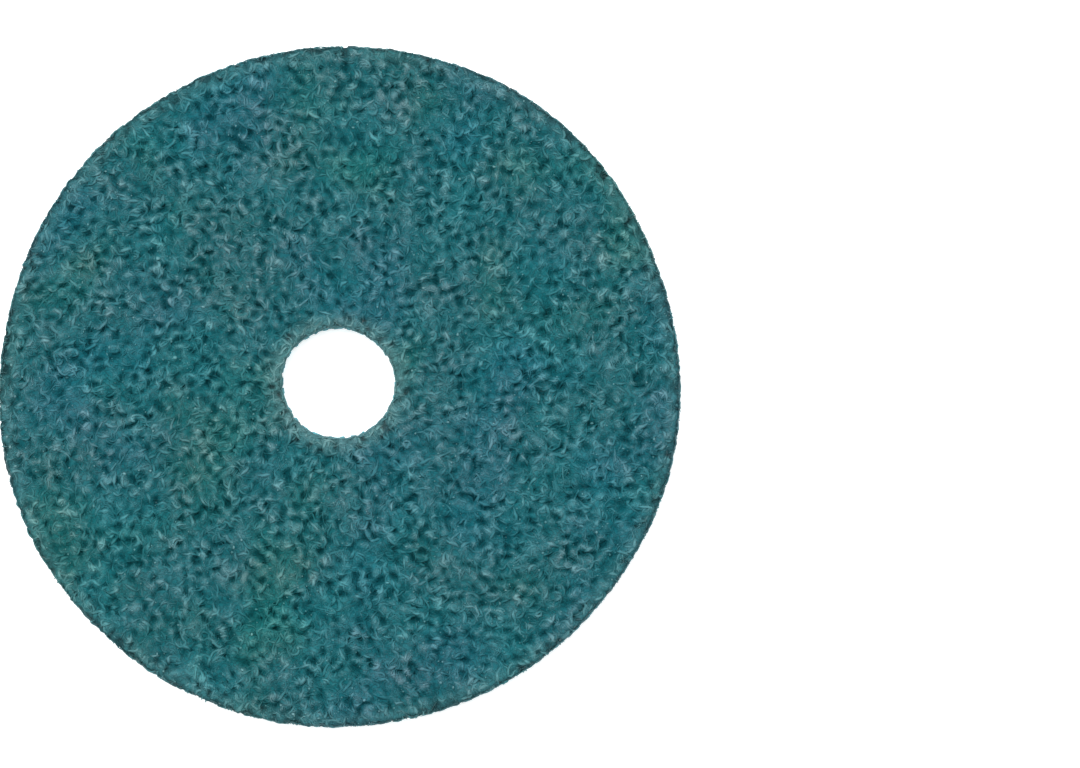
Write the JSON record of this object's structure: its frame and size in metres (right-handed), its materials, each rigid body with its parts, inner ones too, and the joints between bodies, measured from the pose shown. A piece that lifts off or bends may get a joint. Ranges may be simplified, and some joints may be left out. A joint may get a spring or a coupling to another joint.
{
  "type": "surface conditioning disc",
  "caption": "Flat springy ring of non-woven abrasive fibre on a woven backing scrim, with a round centre hole, for surface conditioning with a small angle grinder.",
  "frame": {"origin": "centre of the back face, where the disc lies on its scrim", "axes": "+Z out of the abrasive face along the axis of the centre hole; X and Y lie in the plane of the disc"},
  "size_m": [0.1, 0.1, 0.006],
  "materials": {
    "abrasive_web": "matte",
    "backing_scrim": "matte"
  },
  "bodies": {
    "root": {"abrasive_web": "abrasive_web", "backing_scrim": "backing_scrim"}
  },
  "joints": []
}
